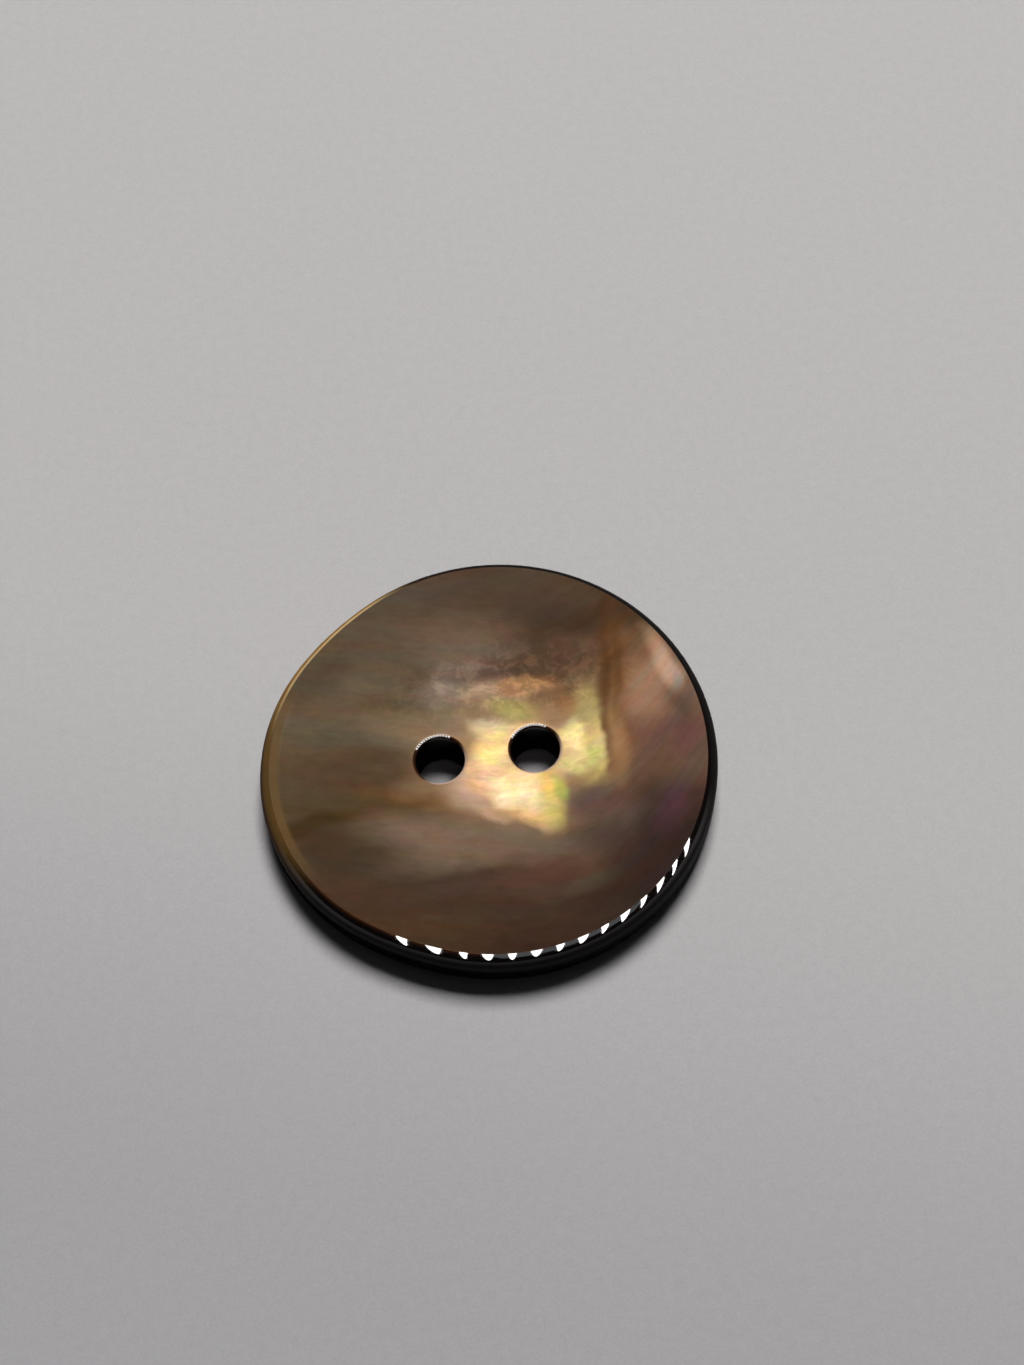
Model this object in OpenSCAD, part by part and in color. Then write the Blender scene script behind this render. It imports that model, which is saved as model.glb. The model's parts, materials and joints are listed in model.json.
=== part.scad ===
// Sew-on shell button: a flat disc turned and polished from dark mother-of-pearl.
// The blank keeps the layers that the shell grew in. A pearly face lies on a honey-brown
// band, and the band lies on the dark outer shell. They meet face to face on two gently
// tilted planes, and both thread holes are drilled through all three.
// Millimetres. Origin: on the resting plane, under the middle of the outline, which is
// midway between the thread holes. +Z points up through the pearly face, and the holes
// lie in line along X.

/* [Outline] */
// Radius of the blunt side, which is most of the outline
blunt_r = 9.85; // [7:0.05:14]
// How much tighter the radius of the nose is
nose_step = 0.9; // [0.5:0.05:1.5]
// How far the nose's centre lies from the blunt side's centre
nose_offset = 1.65; // [1:0.05:3]
// Turn of the nose away from the line of the holes
nose_turn = 6.7; // [-45:0.1:45]

/* [Thickness and edges] */
// Thickness of the disc
thickness = 2.6; // [2.1:0.05:5]
// Radius of the rounded edge round the face
face_round = 1.1; // [0.5:0.05:1.3]
// How much of that rounded edge was lapped away when the face was made flat
face_lap = 0.18; // [0:0.01:0.3]
// Radius of the rounded edge round the back
back_round = 0.8; // [0.2:0.05:1]

/* [Thread holes] */
// Radius of a thread hole
hole_r = 1.085; // [0.6:0.005:1.6]
// Distance between the centres of the two holes
hole_spacing = 4.25; // [3.2:0.05:6.5]
// Rounding of both rims of a hole
hole_round = 0.2; // [0.05:0.05:0.4]

/* [Shell layers] */
// Direction in which the layers rise towards the face, from +X
layer_turn = 150; // [0:5:360]
// Depth of the pearly layer at the rim, where it is thinnest
nacre_thin = 0.1; // [0.1:0.05:0.4]
// Depth of the pearly layer at the rim, where it is thickest
nacre_thick = 0.5; // [0.4:0.05:0.7]
// Depth of the honey-brown band at the rim, where it is thickest
band_thick = 1; // [0.3:0.05:1.2]
// Depth of the honey-brown band at the rim, where it is thinnest
band_thin = 0.15; // [0.1:0.05:0.3]

/* [Hidden] */
$fn = 180;

// Colours of the three layers
nacre_colour = [0.48, 0.42, 0.35];
amber_colour = [0.58, 0.34, 0.12];
dark_colour = [0.15, 0.11, 0.1];

// The disc is out of round: it is two turned discs in one, and the smaller makes its nose.
nose_r = blunt_r - nose_step;
nose_centre = -nose_offset * [cos(nose_turn), sin(nose_turn)];

// How far the outline reaches from the blunt side's centre, along -X, +X, -Y and +Y
reach_left = max(blunt_r, nose_r - nose_centre.x);
reach_right = max(blunt_r, nose_r + nose_centre.x);
reach_front = max(blunt_r, nose_r - nose_centre.y);
reach_back = max(blunt_r, nose_r + nose_centre.y);
outline_middle = [(reach_right - reach_left) / 2, (reach_back - reach_front) / 2];
half_length = (reach_right + reach_left) / 2;

// A block that is larger than the disc, for the cuts between layers
block = 4 * (half_length + thickness);
// How far a cutter stands out of the disc
through = 1;

// What a rounded edge takes off a square one, in profile
module edge_cut(r) {
    difference() {
        square(r + through);
        circle(r);
    }
}

// Half of the profile of a turned disc
module disc_profile(r) {
    difference() {
        square([r, thickness]);
        translate([r - face_round, thickness + face_lap - face_round]) edge_cut(face_round);
        translate([r - back_round, back_round]) mirror([0, 1]) edge_cut(back_round);
    }
}

// The whole polished disc, undrilled
module disc() {
    translate(-outline_middle) {
        rotate_extrude() disc_profile(blunt_r);
        translate(nose_centre) rotate_extrude() disc_profile(nose_r);
    }
}

// Half of the profile of a drill that rounds the rim of its hole on both faces
module drill_profile() {
    translate([0, -through]) square([hole_r, thickness + 2 * through]);
    rim_flare();
    translate([0, thickness]) mirror([0, 1]) rim_flare();
}

// The rounded rim of a hole, in the drill's profile
module rim_flare() {
    difference() {
        square([hole_r + hole_round, hole_round]);
        translate([hole_r + hole_round, hole_round]) circle(hole_round);
    }
}

module thread_holes() {
    for (side = [-1, 1])
        translate([side * hole_spacing / 2, 0, 0]) rotate_extrude() drill_profile();
}

// Everything under a tilted plane, whose depths under the face are given at the rim, on
// the side where the layers rise and on the side where they dip
module under_plane(rise_depth, dip_depth) {
    tilt = atan((dip_depth - rise_depth) / (2 * half_length));
    rotate(layer_turn) translate([0, 0, thickness - (rise_depth + dip_depth) / 2])
        rotate([0, -tilt, 0]) translate([-block / 2, -block / 2, -block]) cube(block);
}

module under_nacre() {
    under_plane(nacre_thin, nacre_thick);
}

module under_band() {
    under_plane(nacre_thin + band_thick, nacre_thick + band_thin);
}

// Pearly layer of the face
module nacre_face() {
    color(nacre_colour) difference() {
        disc();
        under_nacre();
        thread_holes();
    }
}

// Honey-brown layer between the pearly face and the dark shell
module amber_band() {
    color(amber_colour) difference() {
        intersection() {
            disc();
            under_nacre();
        }
        under_band();
        thread_holes();
    }
}

// Dark outer shell, which makes the underside and most of the rim
module dark_back() {
    color(dark_colour) difference() {
        intersection() {
            disc();
            under_band();
        }
        thread_holes();
    }
}

nacre_face();
amber_band();
dark_back();
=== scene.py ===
import json
import math

import bmesh
import bpy
from bpy.props import FloatProperty, FloatVectorProperty, IntProperty, PointerProperty
from mathutils import Matrix, Vector


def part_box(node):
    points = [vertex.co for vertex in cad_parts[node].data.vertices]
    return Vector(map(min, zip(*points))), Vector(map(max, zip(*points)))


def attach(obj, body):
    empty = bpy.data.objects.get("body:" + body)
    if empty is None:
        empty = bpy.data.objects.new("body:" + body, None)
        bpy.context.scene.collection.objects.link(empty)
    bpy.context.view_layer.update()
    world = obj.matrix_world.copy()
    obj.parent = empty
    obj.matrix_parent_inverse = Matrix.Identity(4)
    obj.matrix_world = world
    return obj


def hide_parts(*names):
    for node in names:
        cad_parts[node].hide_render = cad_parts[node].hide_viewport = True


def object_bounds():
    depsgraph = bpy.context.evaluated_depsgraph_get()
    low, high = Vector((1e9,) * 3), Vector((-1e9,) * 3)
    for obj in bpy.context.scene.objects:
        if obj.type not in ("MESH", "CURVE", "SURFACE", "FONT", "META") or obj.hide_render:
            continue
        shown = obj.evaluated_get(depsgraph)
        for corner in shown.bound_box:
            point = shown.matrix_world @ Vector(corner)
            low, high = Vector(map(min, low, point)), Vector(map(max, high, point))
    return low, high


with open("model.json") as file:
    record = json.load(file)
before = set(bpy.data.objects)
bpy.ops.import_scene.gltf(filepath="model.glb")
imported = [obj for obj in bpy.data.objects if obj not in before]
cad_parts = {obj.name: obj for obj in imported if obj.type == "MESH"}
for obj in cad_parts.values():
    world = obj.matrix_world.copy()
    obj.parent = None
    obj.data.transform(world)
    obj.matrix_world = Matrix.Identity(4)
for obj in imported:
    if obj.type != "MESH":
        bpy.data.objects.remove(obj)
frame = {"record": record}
CAD_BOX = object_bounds()

bl_info = {
    "name": "Shell Sew-on Button",
    "version": (1, 0, 0),
    "blender": (4, 5, 0),
    "location": "3D View > Sidebar > Button",
    "description": "Turns, cuts and polishes a two-hole mother-of-pearl button round its CAD frame",
    "category": "Object",
}

MM = 0.001
FACE_UP = Vector((0, 0, 1))

# What the frame says about the disc
LOW, HIGH = CAD_BOX
LENGTH, WIDTH, THICKNESS = HIGH - LOW
HOLES = [m for m in frame["record"]["mounts"] if m["kind"] == "bore"]
HOLE_PLACES = [Vector((m["pos_m"][0], m["pos_m"][1], 0)) for m in HOLES]
HOLE_RADIUS = HOLES[0]["dims"]["r_mm"] * MM


def layer_depth(node, end):
    """How deep under the face a layer's lowest (0) or highest (1) point lies."""
    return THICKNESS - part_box(node)[end].z


# ---------------------------------------------------------------- sizes and colours


class ButtonSizes(bpy.types.PropertyGroup):
    blunt_radius: FloatProperty(
        name="Blunt Radius", description="Radius of the blunt side of the outline",
        default=WIDTH / 2, min=0.001, precision=5, unit="LENGTH", subtype="DISTANCE")
    nose_step: FloatProperty(
        name="Nose Step", description="How much tighter the radius of the nose is",
        default=0.9 * MM, min=0, precision=5, unit="LENGTH", subtype="DISTANCE")
    blend_radius: FloatProperty(
        name="Blend Radius", description="Radius that runs the blunt side into the nose",
        default=14 * MM, min=0.001, precision=5, unit="LENGTH", subtype="DISTANCE")
    nose_turn: FloatProperty(
        name="Nose Turn", description="Turn of the nose away from the line of the holes",
        default=math.radians(6.7), unit="ROTATION", subtype="ANGLE")
    face_round: FloatProperty(
        name="Face Edge Radius", description="Radius of the rounded edge round the face",
        default=1.1 * MM, min=0, precision=5, unit="LENGTH", subtype="DISTANCE")
    face_lap: FloatProperty(
        name="Lapped Depth", description="How much of that rounded edge was lapped away",
        default=0.18 * MM, min=0, precision=5, unit="LENGTH", subtype="DISTANCE")
    back_round: FloatProperty(
        name="Back Edge Radius", description="Radius of the rounded edge round the back",
        default=0.8 * MM, min=0, precision=5, unit="LENGTH", subtype="DISTANCE")
    hole_round: FloatProperty(
        name="Hole Rim Radius", description="Rounding of both rims of a thread hole",
        default=0.2 * MM, min=0, precision=5, unit="LENGTH", subtype="DISTANCE")
    layer_turn: FloatProperty(
        name="Layer Turn", description="Direction in which the layers rise to the face",
        default=math.radians(150), unit="ROTATION", subtype="ANGLE")
    outline_steps: IntProperty(
        name="Outline Steps", description="Steps in a full turn of the outline",
        default=320, min=24)
    rounding_steps: IntProperty(
        name="Rounding Steps", description="Steps across a rounded edge",
        default=18, min=3)


class ShellColours(bpy.types.PropertyGroup):
    amber: FloatVectorProperty(
        name="Amber", description="Honey-brown shell where the light comes through",
        default=(0.30, 0.165, 0.048), size=3, min=0, max=1, subtype="COLOR")
    resin: FloatVectorProperty(
        name="Red-brown", description="Honey-brown shell in its own shade",
        default=(0.030, 0.010, 0.004), size=3, min=0, max=1, subtype="COLOR")
    dark: FloatVectorProperty(
        name="Dark Shell", description="Outer shell",
        default=(0.0045, 0.0030, 0.0026), size=3, min=0, max=1, subtype="COLOR")
    growth: FloatVectorProperty(
        name="Growth Lines", description="Growth lines in the outer shell",
        default=(0.040, 0.022, 0.012), size=3, min=0, max=1, subtype="COLOR")
    table: FloatVectorProperty(
        name="Table", description="Pale table top",
        default=(0.392, 0.383, 0.385), size=3, min=0, max=1, subtype="COLOR")


class StudioSettings(bpy.types.PropertyGroup):
    camera_turn: FloatProperty(
        name="Camera Turn", description="Turn of the camera round the button",
        default=math.radians(-2.79), unit="ROTATION", subtype="ANGLE")
    camera_rise: FloatProperty(
        name="Camera Rise", description="Camera angle above the table",
        default=math.radians(64.02), unit="ROTATION", subtype="ANGLE")
    camera_roll: FloatProperty(
        name="Camera Roll", description="Tilt of the camera about its own axis",
        default=math.radians(-4.12), unit="ROTATION", subtype="ANGLE")
    camera_distance: FloatProperty(
        name="Camera Distance", description="Camera to the point that it looks at",
        default=0.10499, min=0.01, precision=5, unit="LENGTH", subtype="DISTANCE")
    camera_aim: FloatVectorProperty(
        name="Camera Aim", description="Point on the table that the camera looks at",
        default=(1.534 * MM, 4.608 * MM, 0), size=3, precision=5, subtype="XYZ", unit="LENGTH")
    lens: FloatProperty(
        name="Lens", description="Focal length in millimetres on a 36 mm frame",
        default=59.95, min=1)
    key_power: FloatProperty(
        name="Key Power", description="Power of the soft light", default=4.65, min=0,
        unit="POWER")
    lamp_count: IntProperty(
        name="Lamps", description="Small lamps in the row overhead", default=14, min=1)
    lamp_power: FloatProperty(
        name="Lamp Power", description="Power of one small lamp", default=1.3, min=0,
        unit="POWER")


def sizes():
    return bpy.context.scene.button_sizes


def colours():
    return bpy.context.scene.shell_colours


def studio():
    return bpy.context.scene.studio_settings


# ---------------------------------------------------------------- materials


class Wire:
    """A shader socket that takes part in sums. Each sum on it adds one Math node."""

    def __init__(self, finish, socket):
        self.finish = finish
        self.socket = socket

    def sum(self, operation, *values):
        inputs = dict(enumerate(values))
        return self.finish.node("ShaderNodeMath", {"operation": operation}, inputs)

    def __add__(self, other):
        return self.sum("ADD", self, other)

    def __radd__(self, other):
        return self.sum("ADD", other, self)

    def __sub__(self, other):
        return self.sum("SUBTRACT", self, other)

    def __rsub__(self, other):
        return self.sum("SUBTRACT", other, self)

    def __mul__(self, other):
        return self.sum("MULTIPLY", self, other)

    def __rmul__(self, other):
        return self.sum("MULTIPLY", other, self)

    def __truediv__(self, other):
        return self.sum("DIVIDE", self, other)

    def most(self, other):
        return self.sum("MAXIMUM", self, other)


class Finish:
    """The node tree of a material or of the world, and the ways to add to it."""

    def __init__(self, owner):
        owner.use_nodes = True
        self.owner = owner
        self.tree = owner.node_tree
        self.tree.nodes.clear()

    def node(self, kind, settings=None, inputs=None, output=0):
        made = self.tree.nodes.new(kind)
        for key, value in (settings or {}).items():
            if key == "stops":
                self.stops(made.color_ramp, value)
            else:
                setattr(made, key, value)
        for key, value in (inputs or {}).items():
            self.plug(self.pick(made.inputs, key), value)
        return Wire(self, self.pick(made.outputs, output))

    @staticmethod
    def pick(sockets, key):
        live = [s for s in sockets if s.enabled]
        if isinstance(key, int):
            return live[key]
        return next(s for s in live if s.name == key)

    def plug(self, socket, value):
        if isinstance(value, Wire):
            self.tree.links.new(value.socket, socket)
        elif socket.type == "RGBA":
            socket.default_value = (*value, 1)
        else:
            socket.default_value = value

    @staticmethod
    def stops(ramp, stops):
        ramp.interpolation = "EASE"
        while len(ramp.elements) < len(stops):
            ramp.elements.new(1)
        for element, (place, colour) in zip(ramp.elements, stops):
            element.position = place
            element.color = (*colour, 1)

    def place(self):
        """Where a point lies, in millimetres."""
        metres = self.node("ShaderNodeTexCoord", output="Object")
        return self.vector("SCALE", metres, Scale=1 / MM)

    def split(self, vector):
        return [self.node("ShaderNodeSeparateXYZ", None, {0: vector}, axis) for axis in range(3)]

    def join(self, x, y, z):
        return self.node("ShaderNodeCombineXYZ", None, {0: x, 1: y, 2: z})

    def vector(self, operation, *vectors, **named):
        inputs = {**dict(enumerate(vectors)), **named}
        return self.node("ShaderNodeVectorMath", {"operation": operation}, inputs)

    def measure(self, operation, *vectors):
        """A vector sum that gives a number."""
        inputs = dict(enumerate(vectors))
        return self.node("ShaderNodeVectorMath", {"operation": operation}, inputs, "Value")

    def step(self, value, start, end, top=1.0):
        """Nothing before start, top after end, and smooth between."""
        inputs = {"Value": value, "From Min": start, "From Max": end, "To Max": top}
        return self.node("ShaderNodeMapRange", {"interpolation_type": "SMOOTHSTEP"}, inputs)

    def noise(self, vector, scale, detail=2.0, roughness=0.5, distortion=0.0, output=0):
        inputs = {"Vector": vector, "Scale": scale, "Detail": detail}
        inputs.update({"Roughness": roughness, "Distortion": distortion})
        return self.node("ShaderNodeTexNoise", None, inputs, output)

    def ramp(self, value, stops):
        return self.node("ShaderNodeValToRGB", {"stops": stops}, {0: value})

    def mix(self, share, under, over):
        settings = {"data_type": "RGBA"}
        return self.node("ShaderNodeMix", settings, {"Factor": share, "A": under, "B": over})

    def shade(self, colour, amount):
        """A colour made lighter or darker."""
        return self.vector("SCALE", colour, Scale=amount)

    def swing(self, colour, share, first, second):
        """A colour that swings between two tints of itself."""
        under = self.vector("MULTIPLY", colour, first)
        over = self.vector("MULTIPLY", colour, second)
        return self.mix(share, under, over)

    def warp(self, vector, scale, reach, detail=2.0):
        """The place moved about by noise, by up to about half its reach each way."""
        drift = self.noise(vector, scale, detail, output="Color")
        middle = self.vector("SUBTRACT", drift, (0.5, 0.5, 0.5))
        return self.vector("MULTIPLY_ADD", middle, (reach, reach, 0), vector)

    def field(self, vector, corners, softness):
        """A field with straight sides between its corners, which go round anticlockwise."""
        share = 1.0
        for start, end in zip(corners, corners[1:] + corners[:1]):
            side = (Vector(end) - Vector(start)).normalized()
            out = Vector((side.y, -side.x))
            reach = self.measure("DOT_PRODUCT", vector, (out.x, out.y, 0))
            edge = out.dot(Vector(start))
            share = self.step(reach, edge + softness / 2, edge - softness / 2) * share
        return share

    def patch(self, vector, middle, reach, turn, softness, top=1.0):
        """A soft-edged oval patch."""
        inputs = {"Vector": vector, "Location": (*middle, 0)}
        inputs["Rotation"] = (0, 0, math.radians(turn))
        inputs["Scale"] = (*reach, 1)
        local = self.node("ShaderNodeMapping", {"vector_type": "TEXTURE"}, inputs)
        flat = self.vector("MULTIPLY", local, (1, 1, 0))
        length = self.measure("LENGTH", flat)
        return self.step(length, 1 + softness, 1 - softness, top)

    def bump(self, height, strength, distance):
        inputs = {"Strength": strength, "Distance": distance, "Height": height}
        return self.node("ShaderNodeBump", None, inputs)

    def surface(self, **inputs):
        named = {key.replace("_", " "): value for key, value in inputs.items()}
        # all shine comes from the coat
        named["Specular IOR Level"] = 0.0
        shader = self.node("ShaderNodeBsdfPrincipled", None, named)
        self.show(shader, "ShaderNodeOutputMaterial")
        return self.owner

    def show(self, shader, kind):
        """Leads a shader to the output node."""
        out = self.tree.nodes.new(kind)
        self.tree.links.new(shader.socket, out.inputs["Surface"])


def new_finish(name):
    return Finish(bpy.data.materials.new(name))


# How much brighter a white matt face looks under the studio light than full white
LIGHT_LEVEL = 1.27


def tone(red, green, blue):
    """The reflectance that shows as this tone, out of 255, under the studio light."""
    linear = [((c / 255 + 0.055) / 1.055) ** 2.4 / LIGHT_LEVEL for c in (red, green, blue)]
    return tuple(min(0.95, c) for c in linear)


# Ground tones of the pearly face from front to back, which hold its painted sheen as well as its
# colour: place along Y in mm, then the tone
LEFT_GROUND = (
    (-9.4, (60, 44, 30)), (-7.5, (68, 51, 37)), (-6.0, (68, 49, 36)), (-4.5, (70, 57, 45)),
    (-3.0, (84, 68, 52)), (-1.5, (79, 63, 43)), (0.0, (83, 67, 50)), (1.5, (90, 78, 61)),
    (3.0, (96, 83, 66)), (4.8, (94, 80, 64)), (6.5, (89, 75, 61)), (9.0, (82, 69, 58)),
)
MIDDLE_GROUND = (
    (-9.4, (52, 37, 30)), (-7.5, (60, 46, 37)), (-6.0, (76, 57, 47)), (-4.5, (96, 78, 65)),
    (-3.0, (98, 78, 62)), (-1.5, (118, 94, 70)), (0.0, (136, 112, 82)), (1.5, (132, 108, 80)),
    (3.0, (112, 90, 68)), (4.8, (92, 73, 58)), (6.5, (80, 63, 49)), (9.0, (78, 62, 49)),
)
RIGHT_GROUND = (
    (-7.0, (44, 33, 31)), (-5.0, (46, 36, 35)), (-3.0, (62, 47, 42)), (-1.5, (92, 72, 59)),
    (0.0, (99, 73, 64)), (1.5, (121, 95, 79)), (3.0, (130, 105, 86)), (4.5, (108, 82, 62)),
    (6.0, (74, 54, 36)), (8.0, (70, 50, 34)),
)
GROUND_HALF = 10.0

# Patches that are crisper than this have torn edges
TORN_BELOW = 0.6

# Patches on the face, of its colour and of its painted sheen: middle and reach in mm, turn in
# degrees, softness of the edge, tone and strength
TONE_AND_SHEEN_PATCHES = (
    # smoky left side
    ((-4.6, 3.6), (4.4, 0.7), -17, 0.9, (103, 90, 72), 0.6),
    ((-4.3, 2.9), (1.7, 0.5), -20, 0.8, (86, 69, 53), 0.6),
    ((-3.2, 1.7), (2.2, 0.8), -14, 0.8, (120, 104, 83), 0.8),
    ((-5.9, -0.2), (2.6, 1.0), -8, 0.8, (79, 63, 47), 0.7),
    ((-8.0, -2.4), (1.9, 0.45), 6, 0.7, (60, 45, 20), 0.8),
    ((-7.6, -3.5), (1.7, 0.9), -20, 0.9, (54, 41, 28), 0.6),
    ((-7.3, 4.6), (1.6, 0.8), 20, 0.9, (72, 60, 47), 0.7),
    ((-3.0, -6.0), (1.8, 0.7), -5, 0.9, (52, 39, 29), 0.8),
    ((-3.1, -1.9), (2.0, 0.4), -18, 0.8, (108, 80, 50), 0.6),
    ((-2.8, -3.5), (2.2, 0.8), -12, 0.8, (120, 100, 84), 0.8),
    ((-0.6, -4.6), (3.0, 0.7), 2, 0.8, (114, 96, 80), 0.7),
    ((-2.0, -6.2), (5.0, 0.5), -4, 0.9, (74, 55, 45), 0.7),
    # back of the face
    ((-0.3, 4.2), (1.5, 1.1), -10, 0.8, (128, 111, 97), 0.75),
    ((-0.5, 6.0), (2.2, 0.8), -5, 0.9, (110, 96, 82), 0.7),
    ((2.9, 5.0), (0.3, 1.0), 12, 0.8, (68, 55, 38), 0.3),
    ((2.6, 3.9), (3.0, 0.8), 4, 0.7, (88, 68, 55), 0.65),
    ((-1.5, 3.1), (1.0, 0.6), -15, 0.8, (148, 134, 122), 0.75),
    ((3.0, 3.0), (0.6, 0.45), 0, 0.6, (156, 112, 74), 0.6),
    ((4.5, 6.0), (2.2, 0.8), 0, 0.9, (58, 44, 33), 0.75),
    # painted sheen: a soft halo round the holes
    ((1.0, -0.5), (3.5, 2.6), -22, 0.6, (168, 140, 106), 0.8),
    ((-1.3, -1.5), (1.0, 0.7), -35, 0.8, (192, 168, 150), 0.85),
    ((0.7, 3.0), (1.3, 0.65), 0, 0.6, (172, 142, 116), 0.85),
    ((-2.9, -1.3), (1.1, 0.5), -10, 0.8, (128, 106, 84), 0.7),
    ((-1.7, 1.5), (0.8, 0.5), -10, 0.8, (120, 104, 90), 0.65),
    ((4.5, 1.7), (0.7, 1.2), 4, 0.4, (160, 141, 97), 0.8),
    ((0.2, 1.5), (0.8, 0.4), 0, 0.5, (222, 200, 160), 0.8),
    ((1.3, 2.1), (0.95, 0.4), -30, 0.7, (172, 162, 100), 0.8),
    ((1.9, 3.1), (1.0, 0.45), 0, 0.5, (178, 134, 94), 0.85),
    ((3.6, 2.1), (0.5, 0.45), 0, 0.7, (148, 108, 74), 0.6),
    ((4.4, -2.9), (1.5, 0.9), -20, 0.6, (84, 67, 63), 0.85),
    ((4.5, -4.6), (1.2, 0.6), -10, 0.9, (62, 48, 42), 0.7),
    # copper band and rose at the right
    ((6.0, 2.1), (0.75, 3.6), -5, 0.5, (112, 78, 46), 0.7),
    ((5.85, 0.3), (0.36, 1.8), 0, 0.9, (158, 128, 92), 0.6),
    ((5.7, 3.4), (0.3, 3.2), -7, 0.95, (66, 43, 24), 0.6),
    ((6.25, 3.6), (0.2, 2.6), -5, 0.95, (70, 46, 24), 0.45),
    ((7.4, 2.4), (0.8, 1.5), -12, 0.7, (148, 115, 94), 0.8),
    ((8.5, 3.2), (0.4, 1.7), 22, 0.7, (190, 158, 134), 0.8),
    ((8.9, 2.5), (0.22, 0.5), 10, 0.7, (142, 138, 138), 0.6),
    ((7.7, -3.7), (0.6, 1.2), -25, 0.8, (82, 52, 60), 0.8),
    ((8.9, -0.2), (0.5, 0.9), 0, 0.8, (92, 64, 68), 0.6),
    ((2.6, 7.0), (1.3, 0.8), 0, 0.9, (68, 56, 48), 0.5),
    ((6.6, -5.7), (2.4, 1.5), 40, 0.7, (48, 36, 32), 0.75),
    ((3.8, -6.6), (1.0, 0.4), 10, 0.9, (76, 68, 52), 0.5),
    ((9.1, 1.4), (0.7, 0.9), 0, 0.9, (80, 62, 52), 0.9),
    ((4.8, -7.3), (1.6, 0.7), 20, 0.9, (44, 32, 26), 0.6),
)

# The bright fields of painted sheen: corners in mm, anticlockwise, softness in mm, tone, strength
PAINTED_SHEEN_FIELDS = (
    (((-1.2, -1.5), (2.4, -4.0), (3.0, -2.4), (3.2, 0.6), (1.6, 1.5), (0.1, 1.5), (-0.6, 0.3)),
     0.8, (216, 176, 134), 0.9),
    (((0.2, -1.5), (2.5, -3.9), (3.05, -2.3), (2.6, -0.9), (0.9, -0.9), (1.0, 1.4), (0.35, 1.3)),
     0.4, (242, 214, 156), 0.85),
    (((3.0, -1.0), (4.7, -1.8), (5.1, -1.65), (5.3, 0.4), (5.15, 1.4), (3.0, 0.8)), 0.4,
     (210, 190, 132), 0.85),
)

# Touches of painted sheen inside the bright fields, laid out like the patches of tone and sheen
PAINTED_SHEEN_TOUCHES = (
    ((0.5, 1.1), (0.6, 0.35), 10, 0.8, (240, 224, 158), 0.8),
    ((1.5, -1.4), (0.7, 0.5), -10, 0.8, (252, 230, 172), 0.85),
    ((0.5, 0.3), (0.5, 0.7), 0, 0.7, (250, 222, 156), 0.8),
    ((-0.4, -0.6), (0.8, 0.4), -10, 0.8, (232, 186, 152), 0.8),
    ((0.9, -1.1), (1.0, 0.35), -12, 0.8, (246, 196, 138), 0.7),
    ((0.9, -1.95), (1.3, 0.45), -24, 0.7, (252, 238, 186), 0.95),
    ((1.6, -2.6), (0.9, 0.3), -28, 0.8, (226, 190, 150), 0.7),
    ((2.65, -1.9), (0.4, 1.0), 6, 0.8, (232, 192, 112), 0.75),
    ((2.6, -3.1), (0.4, 0.7), 15, 0.9, (196, 190, 104), 0.7),
    ((3.05, -2.0), (0.25, 0.6), 12, 0.8, (162, 174, 84), 0.8),
    ((3.8, 0.3), (0.5, 0.8), 0, 0.8, (246, 230, 172), 0.85),
    ((4.2, -0.6), (0.7, 0.3), -15, 0.8, (216, 188, 130), 0.7),
    ((4.7, -0.8), (0.45, 0.5), 0, 0.7, (182, 182, 108), 0.8),
    ((4.5, -1.6), (0.7, 0.35), -15, 0.8, (146, 134, 90), 0.8),
    ((0.1, 0.0), (0.6, 0.6), 0, 0.8, (252, 224, 156), 0.9),
    ((4.6, 1.4), (0.5, 0.4), 0, 0.9, (142, 136, 92), 0.8),
    ((4.7, 1.8), (0.5, 0.9), 2, 0.8, (166, 156, 104), 0.75),
    ((-0.1, -2.7), (0.9, 0.3), -32, 0.8, (186, 158, 128), 0.8),
)


# Places along X in mm between which each ground tone gives way to the next
LEFT_TO_MIDDLE = (-3.5, 1.5)
MIDDLE_TO_RIGHT = (4.0, 7.6)
# Middle and reach in mm, turn in degrees and softness of the crinkled zone behind the holes
CRINKLED = ((1.5, 3.6), (4.4, 1.5), 3, 0.8)
# What the painted play of colour in the pearl's sheen multiplies a tone by; the last pair tints the
# growth streaks
SHEEN_BLUSH, SHEEN_LIME = (1.02, 0.95, 1.05), (0.97, 1.01, 0.84)
SHEEN_ROSE, SHEEN_GREEN = (1.03, 0.96, 1.0), (0.98, 1.02, 0.94)
WARM, OLIVE = (1.08, 0.97, 0.88), (0.93, 1.0, 1.03)


def ground(finish, along, stops):
    """A tone that changes from the front of the face to its back."""
    share = (along + GROUND_HALF) / (2 * GROUND_HALF)
    placed = [((y + GROUND_HALF) / (2 * GROUND_HALF), tone(*t)) for y, t in stops]
    return finish.ramp(share, placed)


def patched(finish, colour, patches, soft, torn):
    """The colour with a set of patches over it. The crisper ones have torn edges."""
    for middle, reach, turn, softness, hue, strength in patches:
        where = torn if softness < TORN_BELOW else soft
        share = finish.patch(where, middle, reach, turn, softness, strength)
        colour = finish.mix(share, colour, tone(*hue))
    return colour


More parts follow.
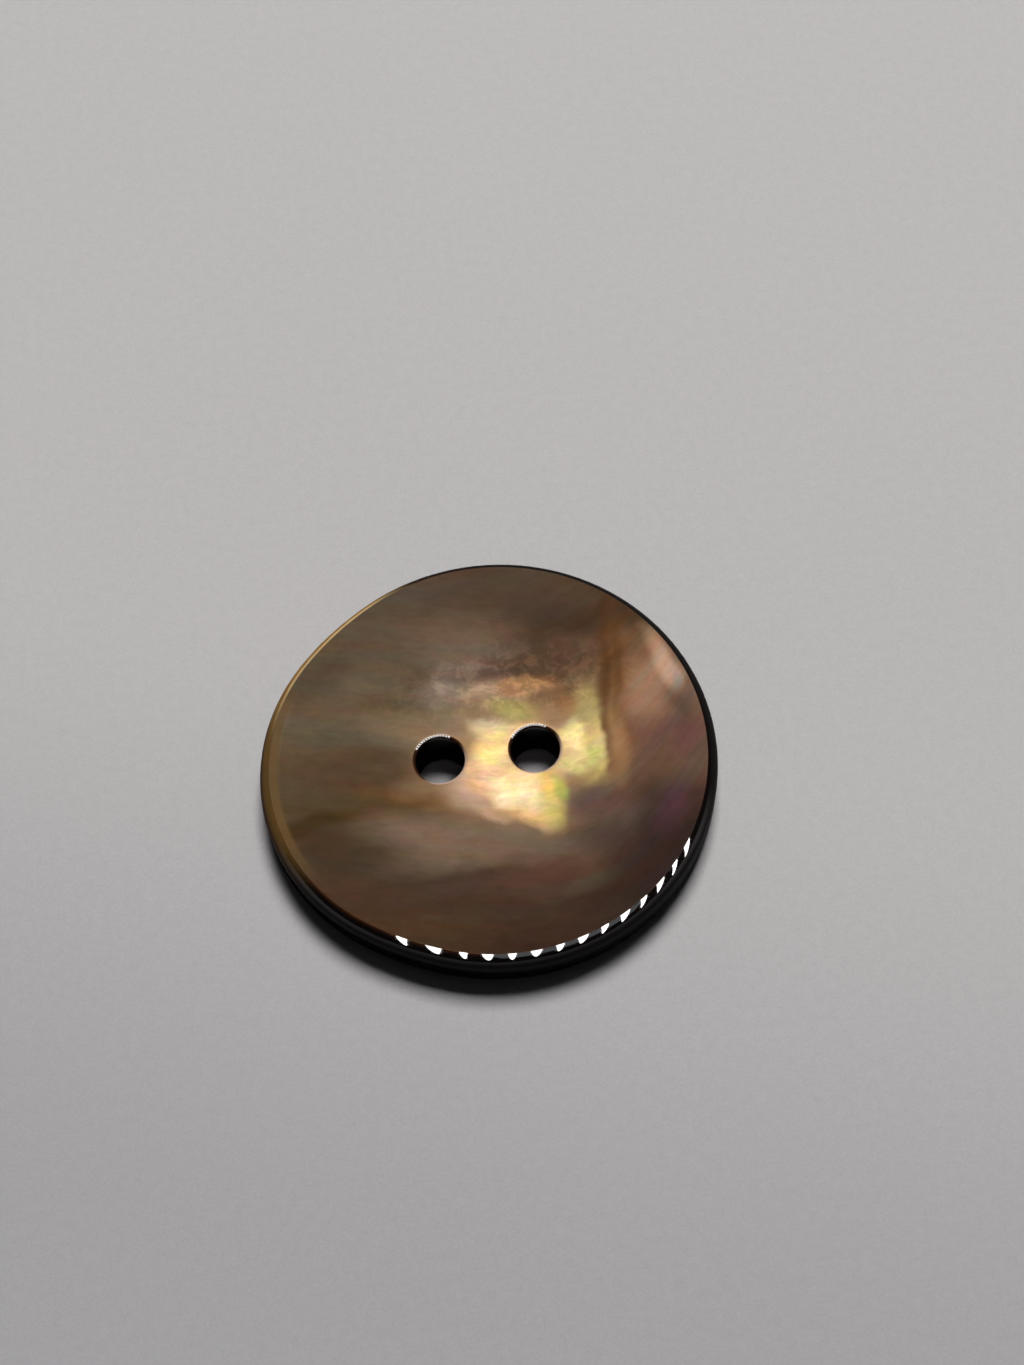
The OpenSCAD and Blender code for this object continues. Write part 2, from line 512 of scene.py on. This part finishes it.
def pearly_face(finish, place, x, y):
    """Colour of the polished face, with its painted sheen, and its streaks and crinkles for the
    relief.
    """
    soft = finish.warp(place, 0.35, 1.1)
    torn = finish.warp(soft, 1.7, 0.55, 4.0)
    feathered = finish.warp(finish.warp(soft, 1.1, 0.35, 2.0), 3.5, 0.1, 4.0)
    soft_x, soft_y, _ = finish.split(soft)
    # growth streaks: level at the left, and bending up towards the right
    bend = (x - 1).most(0)
    across = y + 0.2 * x - 0.09 * bend * bend
    streak_place = finish.join(x * 0.16, across, 0)
    broad = finish.noise(streak_place, 0.9, 3.0, 0.55, 0.4)
    fine = finish.noise(finish.join(x * 0.3, across, 4), 3.2, 3.0, 0.6, 0.3)
    hair = finish.noise(finish.join(x * 0.3, across, 9), 7.0, 3.0, 0.6)
    cloud = finish.noise(place, 0.8, 4.0, 0.6)
    crinkle = finish.noise(finish.warp(place, 1.0, 1.2), 1.5, 6.0, 0.72, 0.3)

    colour = ground(finish, soft_y, LEFT_GROUND)
    middle = ground(finish, soft_y, MIDDLE_GROUND)
    colour = finish.mix(finish.step(soft_x, *LEFT_TO_MIDDLE), colour, middle)
    right = ground(finish, soft_y, RIGHT_GROUND)
    colour = finish.mix(finish.step(soft_x, *MIDDLE_TO_RIGHT), colour, right)
    colour = patched(finish, colour, TONE_AND_SHEEN_PATCHES, soft, torn)
    lit = 0
    for corners, softness, hue, strength in PAINTED_SHEEN_FIELDS:
        share = finish.field(feathered, corners, softness) * strength
        colour = finish.mix(share, colour, tone(*hue))
        lit = share.most(lit)
    colour = patched(finish, colour, PAINTED_SHEEN_TOUCHES, feathered, torn)
    # the bright fields of painted sheen are feathery, and turn from rose to lime
    feather = finish.noise(finish.join(soft_x, soft_y * 1.9, 11), 1.0, 5.0, 0.56, 0.5)
    sheen = finish.noise(finish.join(soft_x, soft_y * 1.4, 15), 0.9, 5.0, 0.6, 0.8)
    swing = finish.swing(colour, finish.step(sheen, 0.40, 0.62), SHEEN_BLUSH, SHEEN_LIME)
    colour = finish.mix(lit, colour, swing)
    colour = finish.shade(colour, 1 + lit * (0.3 * finish.step(feather, 0.34, 0.66) - 0.13))
    # painted iridescence: rose and green play of the pearl's sheen, strongest round the holes
    play = finish.noise(finish.join(x * 0.8, across * 1.6, 2), 1.1, 4.0, 0.6, 0.8)
    colour = finish.swing(colour, finish.step(play, 0.38, 0.62), SHEEN_ROSE, SHEEN_GREEN)
    # warm and olive streaks
    colour = finish.swing(colour, finish.step(broad, 0.35, 0.65), WARM, OLIVE)
    zone = finish.patch(soft, *CRINKLED)
    off = crinkle - 0.5
    vein = finish.step(off * off, 0.0040, 0.0)
    fleck = finish.step(crinkle, 0.38, 0.62)
    silk = finish.noise(finish.join(soft_x * 0.9, soft_y * 1.5, 7), 1.5, 6.0, 0.65, 0.3)
    level = 0.36 + 0.30 * broad + 0.34 * fine + 0.22 * hair + 0.18 * cloud + 0.30 * silk
    level = level * (1 - zone * 0.34 * (1 - fleck) + zone * 0.18 * fleck - 0.10 * zone * vein)
    colour = finish.shade(colour, level)
    relief = 0.5 * broad + 0.25 * fine + 0.1 * hair + 0.5 * zone * crinkle + 0.2 * cloud
    return colour, relief, fine


# Insets from the outline in mm: where its edge ends, and where the bores begin
EDGE_END, BORE_START = 2.0, 3.0
# Which way the side of the outline lies where light is painted coming through the amber, and how
# squarely a point has to face it
LIT_AMBER_X, LIT_AMBER_Y = -0.940, 0.342
LIT_AMBER_FROM, LIT_AMBER_FULL = 0.56, 0.84
# Places along Y in mm between which the amber turns paler towards the back, a painted highlight on
# the edge there
HIGHLIGHT_FROM, HIGHLIGHT_FULL = 1.5, 5.5
# Depths under the face in mm between which the flat face gives way to its rounded edge
TURN_FROM, TURN_FULL = 0.004, 0.03
# Places along Y in mm between which the dark outer line of the crescent comes up
LINE_FROM, LINE_FULL = 4.0, 1.5
# Insets from the outline in mm of that line, and of the crescent's border on the face
LINE_END, LINE_START = 0.22, 0.08
BORDER_END, BORDER_START = 0.92, 0.80
# Places along Y, and heights, in mm between which the polish gets bright
FRONT_FROM, FRONT_FULL = -2.5, -5.2
UPPER_FROM, UPPER_FULL = 2.1, 2.38
DULL_POLISH = 0.12
# How far the fine relief of a finish stands out
RELIEF = 0.04 * MM
COAT = {"Coat_Roughness": 0.03, "Coat_IOR": 1.5}
# Painted highlight: the pale honey of the amber edge towards the back
HIGHLIGHT_HONEY = tone(192, 162, 114)
# Painted light through the amber, on the crescent's border on the face
LIT_BORDER_AMBER = tone(100, 78, 48)
# Painted highlight on the rim of a bore
PAINTED_RIM_HIGHLIGHT = tone(196, 168, 150)


def lit_amber_share(finish, place, x, y):
    """How amber the cut edge is, as painted light coming through it: most at the left, and only
    near the outline.
    """
    distance = finish.node("ShaderNodeMath", {"operation": "SQRT"}, {0: x * x + y * y})
    lit = (LIT_AMBER_X * x + LIT_AMBER_Y * y) / distance
    near = finish.step(outline_inset(finish, place), BORE_START, EDGE_END)
    return finish.step(lit, LIT_AMBER_FROM, LIT_AMBER_FULL) * near


def outer_line(finish, inset, y):
    """The dark line that ends the amber crescent at the outline, except behind."""
    low = finish.step(y, LINE_FROM, LINE_FULL)
    return 0.85 * finish.step(inset, LINE_END, LINE_START) * low


def outline_circles():
    """Middle and radius of the outline's blunt side and of its nose."""
    s = sizes()
    nose_radius = s.blunt_radius - s.nose_step
    offset = (LENGTH - s.blunt_radius - nose_radius) / math.cos(s.nose_turn)
    blunt = Vector((HIGH.x - s.blunt_radius, 0, 0))
    away = -Vector((math.cos(s.nose_turn), math.sin(s.nose_turn), 0))
    return blunt, s.blunt_radius, blunt + away * offset, nose_radius


def outline_inset(finish, place):
    """How far inside the outline a point lies, in millimetres."""
    flat = finish.vector("MULTIPLY", place, (1, 1, 0))
    blunt, blunt_radius, nose, nose_radius = outline_circles()
    insets = []
    for middle, radius in ((blunt, blunt_radius), (nose, nose_radius)):
        insets.append(radius / MM - finish.measure("DISTANCE", flat, tuple(middle / MM)))
    return insets[0].most(insets[1])


def polish(finish, y, z):
    """How bright the polish is: full on the upper edge in front, and dull elsewhere."""
    front = finish.step(y, FRONT_FROM, FRONT_FULL)
    upper = finish.step(z, UPPER_FROM, UPPER_FULL)
    return DULL_POLISH + (1 - DULL_POLISH) * front * upper


def bore_share(finish, inset):
    """One in the thread holes, and nothing at the outline."""
    return finish.step(inset, EDGE_END, BORE_START)


def bore_edge(finish, x, y, depth):
    """Colour of a bore: red-brown, with a painted highlight, a pale line on the rim at the front
    right.
    """
    spacing = 2 * HOLE_PLACES[1].x / MM
    across = x + spacing / 2 - spacing * finish.step(x, -0.1, 0.1)
    facing = finish.step(0.6 * across - 0.8 * y, 0.0, 0.9)
    bright = facing * finish.step(depth, 0.16, 0.05)
    return finish.mix(bright, tuple(colours().resin), PAINTED_RIM_HIGHLIGHT)


def nacre_edge(finish, place, amber, inset, depth):
    """Colour of the pearly layer where the outline and the bores cut it: painted light through the
    amber at the left, a painted highlight towards the back, and dark towards the right.
    """
    x, y, z = finish.split(place)
    grain = finish.noise(finish.join(x, y, z * 6), 1.6, 3.0, 0.6)
    # painted light through the amber edge, turning to a painted highlight towards the back
    honey = finish.shade(tuple(colours().amber), 0.33)
    honey = finish.mix(finish.step(y, HIGHLIGHT_FROM, HIGHLIGHT_FULL), honey, HIGHLIGHT_HONEY)
    honey = finish.mix(outer_line(finish, inset, y), honey, tuple(colours().resin))
    fringe = finish.mix(amber, tuple(colours().resin), honey)
    dark = finish.mix(amber, tuple(colours().dark), honey)
    edge = finish.mix(finish.step(depth, 0.03, 0.12), fringe, dark)
    edge = finish.mix(finish.step(x, 1.0, -3.0), dark, edge)
    edge = finish.mix(bore_share(finish, inset), edge, bore_edge(finish, x, y, depth))
    return finish.shade(edge, 0.75 + 0.5 * grain)


def nacre_finish():
    finish = new_finish("pearl_nacre")
    place = finish.place()
    x, y, z = finish.split(place)
    colour, relief, fine = pearly_face(finish, place, x, y)
    depth = THICKNESS / MM - z
    inset = outline_inset(finish, place)
    # painted light through the amber at the left side of the outline
    amber = lit_amber_share(finish, place, x, y)
    bore = bore_share(finish, inset)
    turned = finish.step(depth, TURN_FROM, TURN_FULL)
    chips = finish.noise(place, 6.0, 3.0, 0.7)
    relief = relief * (1 - turned) + 2.0 * bore * turned * chips
    # the amber band shows through the thin pearl beside the outline, painted as lit through on the
    # left side
    low = amber * finish.step(y, 5.0, 2.0)
    lit_border = finish.step(inset, BORDER_END, BORDER_START) * low
    # a thin painted highlight just inside the crescent's border
    highlight_line = finish.step(inset, BORDER_END + 0.1, BORDER_END) * low
    colour = finish.shade(colour, 1 + 0.12 * highlight_line)
    colour = finish.mix(0.75 * lit_border, colour, LIT_BORDER_AMBER)
    colour = finish.mix(turned, colour, nacre_edge(finish, place, amber, inset, depth))
    return finish.surface(
        Base_Color=colour,
        Metallic=0.12 - 0.12 * turned,
        Roughness=0.30 + 0.22 * fine,
        Normal=finish.bump(relief, 0.25, RELIEF),
        Coat_Weight=turned * (polish(finish, y, z) + 0.5 * bore),
        **COAT,
    )


def amber_finish():
    finish = new_finish("honey_shell")
    place = finish.place()
    x, y, z = finish.split(place)
    # painted light through the amber at the left side of the outline
    amber = lit_amber_share(finish, place, x, y)
    inset = outline_inset(finish, place)
    bands = finish.noise(finish.join(x * 0.3, y * 0.3, z * 5), 1.5, 4.0, 0.6, 0.4)
    cloud = finish.noise(place, 1.1, 4.0, 0.6)
    # painted light through the amber band, paler towards the back as a painted highlight
    light = finish.mix(bands * 0.35, tuple(colours().amber), tuple(colours().resin))
    light = finish.shade(light, 0.38 + 0.45 * finish.step(y, HIGHLIGHT_FROM, HIGHLIGHT_FULL))
    light = finish.mix(outer_line(finish, inset, y), light, tuple(colours().resin))
    colour = finish.mix(amber, tuple(colours().dark), light)
    colour = finish.shade(colour, 0.75 + 0.5 * cloud)
    return finish.surface(
        Base_Color=colour,
        Roughness=0.25 + 0.2 * cloud,
        Normal=finish.bump(bands, 0.1, 0.75 * RELIEF),
        Coat_Weight=polish(finish, y, z),
        **COAT,
    )


def dark_finish():
    finish = new_finish("dark_outer_shell")
    place = finish.place()
    x, y, z = finish.split(place)
    along = finish.join(x * 0.25, y + 0.036 * x * x, z * 2)
    rings = finish.noise(along, 1.3, 4.0, 0.6, 0.5)
    fine = finish.noise(along, 5.0, 3.0, 0.6)
    cloud = finish.noise(place, 0.6, 4.0, 0.6)
    under = finish.step(z, 0.4, 0.02)
    share = finish.step(rings, 0.45, 0.75) * under
    colour = finish.mix(share, tuple(colours().dark), tuple(colours().growth))
    glow = finish.step(cloud, 0.55, 0.8) * under * 0.5
    colour = finish.mix(glow, colour, tuple(colours().amber))
    colour = finish.shade(colour, 0.7 + 0.6 * fine)
    return finish.surface(
        Base_Color=colour,
        Roughness=0.24 + 0.2 * fine,
        Normal=finish.bump(rings + 0.3 * fine, 0.2, RELIEF),
        Coat_Weight=polish(finish, y, z),
        **COAT,
    )


# ---------------------------------------------------------------- shapes

# Points of the turned edge and of a bore that are closer than this are one
BELT_MERGE = 0.005 * MM
BORE_MERGE = 0.001 * MM
# How near a plane an edge must be to lie on it
ON_PLANE = 0.001 * MM
CUT_SLACK = 0.0005 * MM
# Flat strips beside the roundings, which keep their shading clean
RIM_MARGIN = 0.25 * MM
BORE_MARGIN = 0.15 * MM
SHARP_ANGLE = math.radians(24)


def sweep(bm, geom, centre, angle, steps, closed=False):
    """Spins a chain of edges about an upright axis, and gives the last copy."""
    made = bmesh.ops.spin(
        bm, geom=geom, cent=centre, axis=FACE_UP, dvec=(0, 0, 0), angle=angle,
        steps=steps, use_merge=closed, use_normal_flip=False, use_duplicate=False)
    return made["geom_last"]


def profile_arc(bm, start, centre, axis, angle, steps):
    """Spins a point into an arc of edges."""
    point = bmesh.ops.create_vert(bm, co=start)["vert"]
    bmesh.ops.spin(
        bm, geom=point, cent=centre, axis=axis, dvec=(0, 0, 0), angle=angle,
        steps=steps, use_merge=False, use_normal_flip=False, use_duplicate=False)


def chain(bm):
    """Joins the loose arcs in a bmesh into one chain, in order of creation."""
    bm.verts.ensure_lookup_table()
    bm.verts.index_update()
    for first, second in zip(bm.verts[:-1], bm.verts[1:]):
        if not bm.edges.get((first, second)):
            bm.edges.new((first, second))
    return bm.verts[:] + bm.edges[:]


def rim_profile(bm, centre, radius, direction):
    """The turned edge in profile, from just inside the face to just inside the back."""
    s = sizes()
    out = Vector((math.cos(direction), math.sin(direction), 0))
    axis = out.cross(FACE_UP)
    sink = s.face_round - s.face_lap
    first = math.asin(sink / s.face_round)
    inset = s.face_round - math.sqrt(s.face_round ** 2 - sink ** 2)
    steps = s.rounding_steps

    def at(reach, height):
        return centre + out * reach + FACE_UP * height

    bmesh.ops.create_vert(bm, co=at(radius - inset - RIM_MARGIN, THICKNESS))
    profile_arc(bm, at(radius - inset, THICKNESS), at(radius - s.face_round, THICKNESS - sink),
                axis, -first, steps)
    profile_arc(bm, at(radius, s.back_round), at(radius - s.back_round, s.back_round),
                axis, -math.pi / 2, steps)
    bmesh.ops.create_vert(bm, co=at(radius - s.back_round - RIM_MARGIN, 0))


def hole_profile(bm, centre):
    """The wall of a thread hole in profile, from the face to the back."""
    s = sizes()
    reach = HOLE_RADIUS + s.hole_round
    axis = Vector((0, 1, 0))
    steps = s.rounding_steps // 2

    def at(out, height):
        return centre + Vector((out, 0, height))

    bmesh.ops.create_vert(bm, co=at(reach + BORE_MARGIN, THICKNESS))
    profile_arc(bm, at(reach, THICKNESS), at(reach, THICKNESS - s.hole_round),
                axis, -math.pi / 2, steps)
    profile_arc(bm, at(HOLE_RADIUS, s.hole_round), at(reach, s.hole_round),
                axis, -math.pi / 2, steps)
    bmesh.ops.create_vert(bm, co=at(reach + BORE_MARGIN, 0))


def join_into(target, part):
    mesh = bpy.data.meshes.new("part")
    part.to_mesh(mesh)
    part.free()
    target.from_mesh(mesh)
    bpy.data.meshes.remove(mesh)


def outline_arcs():
    """The outline as arcs that run smoothly into each other, anticlockwise from the blunt
    side's end: the middle of each, and the angle that it turns through."""
    s = sizes()
    blunt, blunt_radius, nose, nose_radius = outline_circles()
    offset = (nose - blunt).length
    to_blunt, to_nose = s.blend_radius - blunt_radius, s.blend_radius - nose_radius
    # the middles of the nose, the blunt side and a blend arc make a triangle
    blend = math.acos((to_blunt**2 + to_nose**2 - offset**2) / (2 * to_blunt * to_nose))
    nose_half = math.acos((offset**2 + to_nose**2 - to_blunt**2) / (2 * offset * to_nose))
    facing = s.nose_turn + math.pi
    start = facing + nose_half + blend

    def toward(direction):
        return Vector((math.cos(direction), math.sin(direction), 0))

    first = nose - toward(facing - nose_half) * to_nose
    second = nose - toward(facing + nose_half) * to_nose
    arcs = (
        (blunt, 2 * math.pi - 2 * (nose_half + blend)),
        (first, blend), (nose, 2 * nose_half), (second, blend),
    )
    return start, arcs


def turned_belt():
    """The rounded edge all the way round the outline."""
    s = sizes()
    start, arcs = outline_arcs()
    belt = bmesh.new()
    rim_profile(belt, arcs[0][0], s.blunt_radius, start)
    last = chain(belt)
    for middle, angle in arcs:
        steps = round(s.outline_steps * angle / (2 * math.pi))
        last = sweep(belt, last, middle, angle, steps)
    bmesh.ops.remove_doubles(belt, verts=belt.verts, dist=BELT_MERGE)
    return belt


def whole_disc():
    """The polished and drilled disc, before it is parted into layers."""
    disc = turned_belt()
    for place in HOLE_PLACES:
        hole = bmesh.new()
        hole_profile(hole, place)
        sweep(hole, chain(hole), place, 2 * math.pi, sizes().outline_steps // 3, True)
        bmesh.ops.remove_doubles(hole, verts=hole.verts, dist=BORE_MERGE)
        join_into(disc, hole)
    for height in (0, THICKNESS):
        rims = [e for e in disc.edges if e.is_boundary
                and all(abs(v.co.z - height) < ON_PLANE for v in e.verts)]
        bmesh.ops.triangle_fill(
            disc, use_beauty=True, use_dissolve=False, edges=rims, normal=FACE_UP)
    bmesh.ops.recalc_face_normals(disc, faces=disc.faces)
    return disc


def layer_plane(rise_depth, dip_depth):
    """A point on a plane between two layers, and the plane's upward normal."""
    turn = sizes().layer_turn
    tilt = math.atan((dip_depth - rise_depth) / LENGTH)
    point = Vector((0, 0, THICKNESS - (rise_depth + dip_depth) / 2))
    normal = Matrix.Rotation(turn, 3, "Z") @ Matrix.Rotation(-tilt, 3, "Y") @ FACE_UP
    return point, normal


def part_layer(disc, plane, keep_upper):
    """Cuts the disc on a plane, keeps one side and closes the cut."""
    point, normal = plane
    geom = disc.verts[:] + disc.edges[:] + disc.faces[:]
    made = bmesh.ops.bisect_plane(
        disc, geom=geom, dist=CUT_SLACK, plane_co=point, plane_no=normal,
        use_snap_center=False, clear_outer=not keep_upper, clear_inner=keep_upper)
    rims = [e for e in made["geom_cut"] if isinstance(e, bmesh.types.BMEdge)]
    bmesh.ops.triangle_fill(disc, use_beauty=True, use_dissolve=False, edges=rims, normal=normal)
    bmesh.ops.recalc_face_normals(disc, faces=disc.faces)


def finish_piece(disc, name, node, material):
    mesh = bpy.data.meshes.new(name)
    disc.to_mesh(mesh)
    disc.free()
    mesh.shade_smooth()
    mesh.set_sharp_from_angle(angle=SHARP_ANGLE)
    mesh.materials.append(material)
    piece = bpy.data.objects.new(name, mesh)
    bpy.context.scene.collection.objects.link(piece)
    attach(piece, "root")
    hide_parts(node)


def plane_under_nacre():
    return layer_plane(layer_depth("amber_band", 1), layer_depth("nacre_face", 0))


def plane_under_band():
    return layer_plane(layer_depth("amber_band", 0), layer_depth("dark_back", 1))


# ---------------------------------------------------------------- studio

TABLE_HALF = 1.5
FRAME_WIDTH_MM = 36
# Painted shade: what the table's tone falls to, towards the front
FRONT_SHADE = (0.79, 0.80, 0.82)
# The air of the studio in front, and behind and above
NEAR_AIR = (0.008, 0.008, 0.009)
FAR_AIR = (0.05, 0.0495, 0.0495)

# The soft light: where it stands, how far off, how wide, and its colour
KEY_DIRECTION = Vector((0.11, 0.36, 0.9))
KEY_DISTANCE = 0.6
KEY_WIDTH = 0.2
KEY_COLOUR = (1.0, 0.985, 0.975)

# The row of lamps: directions of the first and last on the polished edge, and the slopes
# of that edge at the upper end, the middle and the lower end of a glint
ROW_START, ROW_END = math.radians(-117.5), math.radians(-36)
GLINT_UPPER, GLINT_MIDDLE, GLINT_LOWER = math.radians(25), math.radians(33.5), math.radians(46)
LAMP_DISTANCE = 0.35
LAMP_WIDTHS = (0.017, 0.024)
LAMP_LENGTH = 0.54
LAMP_COLOUR = (1.0, 0.98, 0.95)
# The dim panel behind the lamps
GLOW_DISTANCE = 0.42
GLOW_WIDTH = 0.44
GLOW_POWER = 0.9
GLOW_COLOUR = (0.9, 0.95, 1.0)


def add_table():
    bm = bmesh.new()
    bmesh.ops.create_grid(bm, x_segments=8, y_segments=8, size=TABLE_HALF)
    mesh = bpy.data.meshes.new("table_top")
    bm.to_mesh(mesh)
    bm.free()
    finish = new_finish("pale_table")
    place = finish.place()
    x, y, _ = finish.split(place)
    grain = finish.noise(place, 2.2, 3.0, 0.6)
    pores = finish.noise(place, 8.0, 2.0, 0.6)
    cloud = finish.noise(place, 0.02, 2.0, 0.5)
    level = 0.82 + 0.12 * grain + 0.20 * pores + 0.06 * cloud
    colour = finish.shade(tuple(colours().table), level)
    # painted shade: the table darkens and cools towards the front
    front_shade_share = finish.step(y + 0.35 * x, 6.0, -26.0)
    colour = finish.mix(front_shade_share, colour, finish.vector("MULTIPLY", colour, FRONT_SHADE))
    mesh.materials.append(finish.surface(
        Base_Color=colour,
        Roughness=0.55 + 0.15 * grain,
        Normal=finish.bump(grain + 0.8 * pores, 0.14, RELIEF),
    ))
    table = bpy.data.objects.new("table_top", mesh)
    bpy.context.scene.collection.objects.link(table)


def camera_back():
    """The direction from the button to the camera."""
    turn, rise = studio().camera_turn, studio().camera_rise
    level = math.cos(rise)
    return Vector((math.sin(turn) * level, -math.cos(turn) * level, math.sin(rise)))


def add_camera():
    s = studio()
    back = camera_back()
    level = Vector((math.cos(s.camera_turn), math.sin(s.camera_turn), 0))
    upward = back.cross(level)
    cos_roll, sin_roll = math.cos(s.camera_roll), math.sin(s.camera_roll)
    right = level * cos_roll + upward * sin_roll
    up = upward * cos_roll - level * sin_roll
    data = bpy.data.cameras.new("camera")
    data.lens = s.lens
    data.sensor_width = FRAME_WIDTH_MM
    data.sensor_fit = "AUTO"
    data.clip_start = 0.005
    data.clip_end = 20
    camera = bpy.data.objects.new("camera", data)
    bpy.context.scene.collection.objects.link(camera)
    spot = Vector(s.camera_aim) + back * s.camera_distance
    turn = Matrix((right, up, back)).transposed().to_4x4()
    camera.matrix_world = Matrix.Translation(spot) @ turn
    bpy.context.scene.camera = camera


def add_panel_light(name, direction, distance, width, height, power, colour, along=None,
                    shape="RECTANGLE"):
    """An area light that faces the button, with its height along a given direction."""
    data = bpy.data.lights.new(name, "AREA")
    data.shape = shape
    data.size = width
    data.size_y = height
    data.energy = power
    data.color = colour
    light = bpy.data.objects.new(name, data)
    bpy.context.scene.collection.objects.link(light)
    back = direction.normalized()
    up = along or FACE_UP
    up = (up - back * up.dot(back)).normalized()
    side = up.cross(back)
    turn = Matrix((side, up, back)).transposed().to_4x4()
    light.matrix_world = Matrix.Translation(back * distance) @ turn
    return light


def only_mirrored(light):
    """Keeps a light in the polish of the button, and off the table."""
    light.visible_diffuse = False
    light.data.cycles.max_bounces = 0


def mirrored(direction, polar):
    """Where the camera sees by the polished edge, at this direction and slope."""
    normal = Vector((
        math.sin(polar) * math.cos(direction), math.sin(polar) * math.sin(direction),
        math.cos(polar)))
    view = camera_back()
    return 2 * normal.dot(view) * normal - view


def glint_run(direction):
    """The way that a lamp runs, for its glint to lie across the polished edge."""
    return mirrored(direction, GLINT_LOWER) - mirrored(direction, GLINT_UPPER)


def add_lamp_row():
    """A row of small lamps overhead, which the polished edge mirrors as a string of glints."""
    s = studio()
    for index in range(s.lamp_count):
        direction = ROW_START + (ROW_END - ROW_START) * index / (s.lamp_count - 1)
        only_mirrored(add_panel_light(
            f"row_lamp_{index + 1}", mirrored(direction, GLINT_MIDDLE), LAMP_DISTANCE,
            LAMP_WIDTHS[index % 2], LAMP_LENGTH, s.lamp_power, LAMP_COLOUR,
            glint_run(direction), "ELLIPSE"))
    direction = (ROW_START + ROW_END) / 2
    only_mirrored(add_panel_light(
        "row_glow", mirrored(direction, GLINT_MIDDLE), GLOW_DISTANCE, GLOW_WIDTH, GLOW_WIDTH,
        GLOW_POWER, GLOW_COLOUR, glint_run(direction)))


def add_world():
    world = bpy.data.worlds.new("studio_air")
    finish = Finish(world)
    direction = finish.node("ShaderNodeTexCoord", output="Generated")
    _, far, high = finish.split(direction)
    share = finish.step(far + 0.5 * high, -0.3, 0.9)
    colour = finish.mix(share, NEAR_AIR, FAR_AIR)
    shader = finish.node("ShaderNodeBackground", None, {"Color": colour})
    finish.show(shader, "ShaderNodeOutputWorld")
    bpy.context.scene.world = world


# ---------------------------------------------------------------- operators


class MakeNacreFace(bpy.types.Operator):
    """Make the pearly layer of the face"""

    bl_idname = "shell_button.make_nacre_face"
    bl_label = "Pearly Face"

    def execute(self, context):
        disc = whole_disc()
        part_layer(disc, plane_under_nacre(), True)
        finish_piece(disc, "pearly_face", "nacre_face", nacre_finish())
        return {"FINISHED"}


class MakeAmberBand(bpy.types.Operator):
    """Make the honey-brown layer under the pearly face"""

    bl_idname = "shell_button.make_amber_band"
    bl_label = "Honey-brown Band"

    def execute(self, context):
        disc = whole_disc()
        part_layer(disc, plane_under_nacre(), False)
        part_layer(disc, plane_under_band(), True)
        finish_piece(disc, "honey_brown_band", "amber_band", amber_finish())
        return {"FINISHED"}


class MakeDarkBack(bpy.types.Operator):
    """Make the dark outer shell"""

    bl_idname = "shell_button.make_dark_back"
    bl_label = "Dark Back"

    def execute(self, context):
        disc = whole_disc()
        part_layer(disc, plane_under_band(), False)
        finish_piece(disc, "dark_outer_back", "dark_back", dark_finish())
        return {"FINISHED"}


class MakeStudio(bpy.types.Operator):
    """Set the pale table, the soft light, the row of lamps and the camera"""

    bl_idname = "shell_button.make_studio"
    bl_label = "Table, Lights and Camera"

    def execute(self, context):
        add_table()
        add_world()
        key = add_panel_light(
            "soft_key", KEY_DIRECTION, KEY_DISTANCE, KEY_WIDTH, KEY_WIDTH,
            studio().key_power, KEY_COLOUR)
        key.visible_glossy = False
        add_lamp_row()
        add_camera()
        context.scene.view_settings.view_transform = "Standard"
        return {"FINISHED"}


class ShellButtonPanel(bpy.types.Panel):
    bl_idname = "VIEW3D_PT_shell_button"
    bl_label = "Shell Button"
    bl_space_type = "VIEW_3D"
    bl_region_type = "UI"
    bl_category = "Button"

    def draw(self, context):
        for operator in OPERATORS:
            self.layout.operator(operator.bl_idname)
        for group in (sizes(), colours(), studio()):
            box = self.layout.box()
            for name in group.bl_rna.properties.keys():
                if name not in ("rna_type", "name"):
                    box.prop(group, name)


OPERATORS = (MakeNacreFace, MakeAmberBand, MakeDarkBack, MakeStudio)
GROUPS = {
    "button_sizes": ButtonSizes,
    "shell_colours": ShellColours,
    "studio_settings": StudioSettings,
}


def register():
    for name, group in GROUPS.items():
        bpy.utils.register_class(group)
        setattr(bpy.types.Scene, name, PointerProperty(type=group))
    for kind in (*OPERATORS, ShellButtonPanel):
        bpy.utils.register_class(kind)


def unregister():
    for kind in (ShellButtonPanel, *reversed(OPERATORS)):
        bpy.utils.unregister_class(kind)
    for name, group in reversed(GROUPS.items()):
        delattr(bpy.types.Scene, name)
        bpy.utils.unregister_class(group)


def main():
    register()
    bpy.ops.shell_button.make_nacre_face()
    bpy.ops.shell_button.make_amber_band()
    bpy.ops.shell_button.make_dark_back()
    bpy.ops.shell_button.make_studio()


if __name__ == "__main__":
    main()
